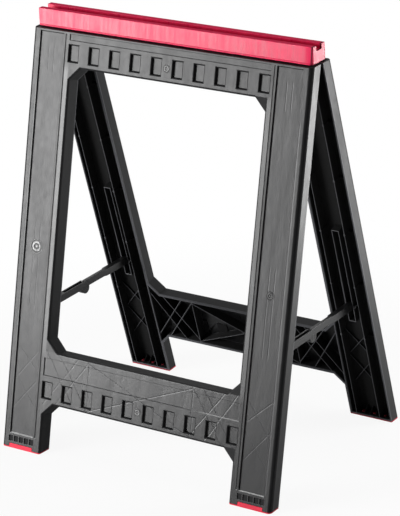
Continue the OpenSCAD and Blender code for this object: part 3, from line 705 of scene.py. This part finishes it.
# %% Finishes and softened edges
EDGE_SOFT = {
    "frame_plastic": 0.55 * MM,
    "beam_plastic": 0.6 * MM,
    "foot_rubber": 0.5 * MM,
    "stay_plastic": 0.45 * MM,
    "pin_steel": 0.2 * MM,
}
SAME_POINT = 0.01 * MM
FLAT_ANGLE, HARD_ANGLE = math.radians(1.0), math.radians(35.0)


def soften_edges(piece, width):
    """Modifiers that round the hard edges of a CAD node and keep its own mesh as it is."""
    joined = piece.modifiers.new("join_points", "WELD")
    joined.merge_threshold = SAME_POINT
    flat = piece.modifiers.new("merge_flats", "DECIMATE")
    flat.decimate_type = "DISSOLVE"
    flat.angle_limit = FLAT_ANGLE
    soft = piece.modifiers.new("soft_edges", "BEVEL")
    soft.width = width
    soft.segments = 2
    soft.limit_method = "ANGLE"
    soft.angle_limit = HARD_ANGLE
    soft.use_clamp_overlap = False
    even = piece.modifiers.new("even_normals", "WEIGHTED_NORMAL")
    even.mode = "FACE_AREA"
    even.weight = 90


for part in frame["record"]["subparts"]:
    piece, slot = nodes[part["node"]], part["material_slot"]
    finish = frame_finish[part["node"]] if part["node"] in frame_finish else slot_finish[slot]
    piece.data.materials.clear()
    piece.data.materials.append(finish)
    soften_edges(piece, EDGE_SOFT[slot])

# %% [markdown]
# ## The shape of a gate mark
# Plastic enters a mould through a gate, and the cut-off sprue leaves a ring with a small nub inside it.
# The mark could be a bump, but it stands proud of the face, so it is turned as a real little profile:
# pairs of radius and height go round the y axis, as on a lathe.

# %% Turned mesh
GATE_STEPS = 48
GATE_PROFILE_MM = (
    (0.0, 0.9), (1.6, 0.9), (2.6, 0.05), (5.2, 0.05), (6.0, 0.8), (8.2, 0.8),
    (9.2, 0.05), (11.4, 0.05), (11.8, 0.3), (12.6, 0.3), (13.0, -0.1),
)


def ring_of_points(built, radius, height):
    """Points round the y axis at this radius, or one point on it, facing -y."""
    if radius == 0.0:
        return [built.verts.new((0.0, -height, 0.0))]
    angles = [2 * math.pi * i / GATE_STEPS for i in range(GATE_STEPS)]
    return [built.verts.new((radius * math.cos(a), -height, radius * math.sin(a))) for a in angles]


def turned_mesh(name, size):
    """The gate profile turned about the y axis, with its radii times this size."""
    built = bmesh.new()
    rings = [ring_of_points(built, radius * size * MM, height * MM) for radius, height in GATE_PROFILE_MM]
    for inner, outer in zip(rings, rings[1:]):
        for i in range(GATE_STEPS):
            j = (i + 1) % GATE_STEPS
            near = inner if len(inner) == 1 else [inner[j], inner[i]]
            built.faces.new([outer[i], outer[j]] + near)
    bmesh.ops.recalc_face_normals(built, faces=built.faces)
    mesh = bpy.data.meshes.new(name)
    built.to_mesh(mesh)
    built.free()
    for polygon in mesh.polygons:
        polygon.use_smooth = True
    return mesh


print("rings in a gate mark:", len(GATE_PROFILE_MM) - 1)

# %% [markdown]
# ## Gate marks
# Each leg frame has a mark on each leg and one in the middle of each bar, of different sizes.
# The knife that trimmed the sprue whitened the plastic it passed, and the raised rings also get a painted
# highlight, stronger on some marks than on others.
# One shared finish would make them all alike, so each place has its own paleness.

# %% Gate marks
PANEL_SINK = 2.4 * MM
GATE_PLACES = {
    "left_leg": {"x": -LEG_MID_X, "down": 372.5 * MM, "sunk": PANEL_SINK, "whitening_and_highlight": 0.6, "size": 1.0},
    "right_leg": {"x": LEG_MID_X, "down": 375 * MM, "sunk": PANEL_SINK, "whitening_and_highlight": 0.12, "size": 0.6},
    "top_bar": {"x": 0.0, "down": 36 * MM, "sunk": 0.0, "whitening_and_highlight": 0.4, "size": 0.55},
    "low_bar": {"x": 0.0, "down": 617 * MM, "sunk": 0.0, "whitening_and_highlight": 0.35, "size": 0.55},
}
CREST_Y = mm(-0.2, -0.4)
TORN_PER_M, TORN_STEP, LEAST_TORN = 300.0, (0.35, 0.6), 0.4
TRIM_ROUGH, CREST_ROUGH = 0.34, 0.2


def trimmed_plastic(place_name, whitening_and_highlight):
    """Charcoal plastic, paler on the rings: whitened where the knife passed, and with a painted highlight."""
    material, shader, place = new_finish(f"trimmed_{place_name}", Specular_IOR_Level=0.3)
    crest = axis(place, "Y").smooth(*CREST_Y)
    torn = LEAST_TORN + (1 - LEAST_TORN) * noise(place, TORN_PER_M).smooth(*TORN_STEP)
    # The ring crests are painted pale, both for the whitening and as a highlight.
    feed(shader, "Base Color", (crest * torn).mix(CHARCOAL, grey(whitening_and_highlight)))
    feed(shader, "Roughness", TRIM_ROUGH + crest * CREST_ROUGH)
    return material


for place_name, spot in GATE_PLACES.items():
    gate_finish = trimmed_plastic(place_name, spot["whitening_and_highlight"])
    gate_mesh = turned_mesh("gate_mark", spot["size"])
    for frame_name, space in own_space.items():
        mesh = gate_mesh.copy()
        mesh.materials.append(gate_finish)
        mark = bpy.data.objects.new(f"{frame_name}_{place_name}_gate_mark", mesh)
        bpy.context.scene.collection.objects.link(mark)
        own_place = (spot["x"], FACE_Y + spot["sunk"], FACE_TOP_Z - spot["down"])
        mark.matrix_world = space @ Matrix.Translation(own_place)
        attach(mark, frame_name)
print("gate marks:", len(own_space) * len(GATE_PLACES))

# %% [markdown]
# ## The floor
# The trestle stands on a pale floor that runs out into a white backdrop.
# A plain white floor would need strong light to look white, and the trestle would be lit too brightly.
# So what the camera sees of the floor is mostly its own even white, a little less near the object,
# where the paper underneath still shows the shadow. Reflections see that white mainly further out.

# %% Floor
FLOOR_R = 6.0
FLOOR_SIDES = 48
PAPER = grey(0.9)
FADE_REACH = (0.45, 1.0)
WHITE_NEAR, MIRRORED_NEAR = 0.91, 0.1


def ray_is_seen(tree):
    """Wires for a camera ray, and for a ray seen in a mirror or through glass."""
    names = ("Is Camera Ray", "Is Glossy Ray", "Is Transmission Ray")
    direct, glossy, through = (Wire(tree, None).node("ShaderNodeLightPath", out=name) for name in names)
    return direct, glossy.math("MAXIMUM", through)


def floor_paper():
    even = {"Base_Color": PAPER, "Roughness": 0.9, "Specular_IOR_Level": 0.1}
    material, shader, place = new_finish("floor_paper", **even)
    tree = material.node_tree
    reach = place.node("ShaderNodeVectorMath", {"operation": "LENGTH"}, {0: place}, out="Value")
    far = reach.smooth(*FADE_REACH)
    direct, mirrored = ray_is_seen(tree)
    seen = direct.math("MAXIMUM", mirrored * (MIRRORED_NEAR + (1 - MIRRORED_NEAR) * far))
    fade = seen * (WHITE_NEAR + (1 - WHITE_NEAR) * far)
    paper = Wire(tree, shader.outputs[0])
    glow = place.node("ShaderNodeEmission", None, {"Color": grey(1.0), "Strength": 1.0})
    both = place.node("ShaderNodeMixShader", None, {0: fade, 1: paper, 2: glow})
    tree.links.new(both.socket, tree.nodes["Material Output"].inputs["Surface"])
    return material


turns = [2 * math.pi * i / FLOOR_SIDES for i in range(FLOOR_SIDES)]
corners = [(FLOOR_R * math.cos(a), FLOOR_R * math.sin(a), 0.0) for a in turns]
floor_mesh = bpy.data.meshes.new("floor")
floor_mesh.from_pydata(corners, [], [list(range(FLOOR_SIDES))])
floor_mesh.materials.append(told(floor_paper()))
floor = bpy.data.objects.new("floor", floor_mesh)
bpy.context.scene.collection.objects.link(floor)

# %% [markdown]
# ## The backdrop
# The backdrop is the world: white for the camera and, on the far side of the trestle, for reflections too.
# The near side is a dim room. A world that is white all round is simpler, but it would take the black out of
# every dark face, because each of them would mirror white from somewhere.

# %% Backdrop
ROOM, WHITE = grey(0.12), grey(1.0)
FAR_SIDE = (-0.3, 0.4)

world = bpy.data.worlds.new("studio")
bpy.context.scene.world = world
world.use_nodes = True
sky = world.node_tree
direct, mirrored = ray_is_seen(sky)
looking = Wire(sky, None).node("ShaderNodeTexCoord", out="Generated")
sockets = {0: looking, 1: (-back.x, -back.y, 0.0)}
behind = looking.node("ShaderNodeVectorMath", {"operation": "DOT_PRODUCT"}, sockets, out="Value")
white = direct.math("MAXIMUM", mirrored * behind.smooth(*FAR_SIDE))
feed(sky.nodes["Background"], "Color", white.mix(ROOM, WHITE))
print("backdrop nodes:", len(sky.nodes))

# %% [markdown]
# ## The lamps
# A soft lamp is a glowing square. Its size sets how soft the shadows are, and how broad the sheen is.
# The front lamp stands where the front faces mirror it towards the camera, which is what turns the
# nearly black plastic grey there, while faces that mirror the dim room stay black.
# A weak lamp overhead fills the shadows, and a small low one behind on the right lights the sides there.

# %% Lamps
AIM = Vector((0.0, 0.0, 0.36))


def soft_lamp(name, azimuth, elevation, distance, size, watts):
    """A square soft lamp that looks at the middle of the trestle, placed by compass and height angles."""
    a, e = math.radians(azimuth), math.radians(elevation)
    way = Vector((math.sin(a) * math.cos(e), -math.cos(a) * math.cos(e), math.sin(e)))
    lamp = bpy.data.objects.new(name, bpy.data.lights.new(name, "AREA"))
    lamp.data.shape = "SQUARE"
    lamp.data.size = size
    lamp.data.energy = watts
    lamp.location = AIM + way * distance
    lamp.rotation_mode = "QUATERNION"
    lamp.rotation_quaternion = way.to_track_quat("Z", "Y")
    bpy.context.scene.collection.objects.link(lamp)
    return lamp


lamps = [
    soft_lamp("front_left_lamp", azimuth=-42.0, elevation=7.6, distance=4.0, size=1.8, watts=204.0),
    soft_lamp("overhead_lamp", azimuth=150.0, elevation=78.0, distance=3.2, size=2.4, watts=30.0),
    soft_lamp("back_right_lamp", azimuth=129.0, elevation=-4.0, distance=1.36, size=0.5, watts=15.0),
]
bpy.context.scene.view_settings.view_transform = "Standard"
print("lamps:", [lamp.name for lamp in lamps])
